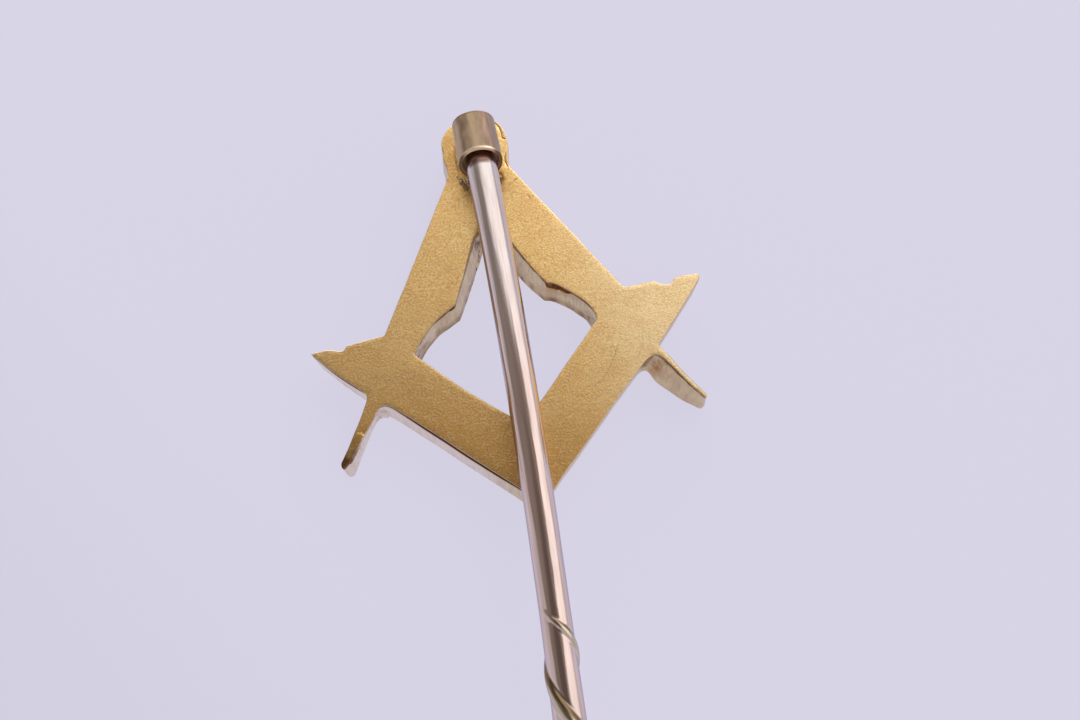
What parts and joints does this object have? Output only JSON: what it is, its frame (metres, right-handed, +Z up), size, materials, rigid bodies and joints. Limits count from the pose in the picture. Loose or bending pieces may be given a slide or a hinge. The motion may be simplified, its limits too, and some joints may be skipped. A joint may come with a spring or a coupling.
{
  "type": "masonic stick pin",
  "caption": "Stick pin with a flat square-and-compasses emblem, a short soldered collar and a long stem with a twisted grip and a sharp ground point.",
  "frame": {"origin": "on the surface that the pin lies on, under the middle of its box", "axes": "+Z up, out of the emblem's back; +Y along the pin towards the hinge of the compasses, the stem running to -Y; +X to the right as the back is seen"},
  "size_m": [0.0132, 0.062, 0.0032],
  "materials": {
    "yellow_gold": "satin yellow gold with a fine filed grain and polished side walls",
    "tarnished_gold": "smooth brown-tarnished gold with a bright rubbed mouth",
    "rose_gold": "polished rose gold with greener gold on the twist's ridges"
  },
  "bodies": {
    "root": {"emblem": "yellow_gold", "collar": "tarnished_gold", "stem": "rose_gold"}
  },
  "joints": []
}
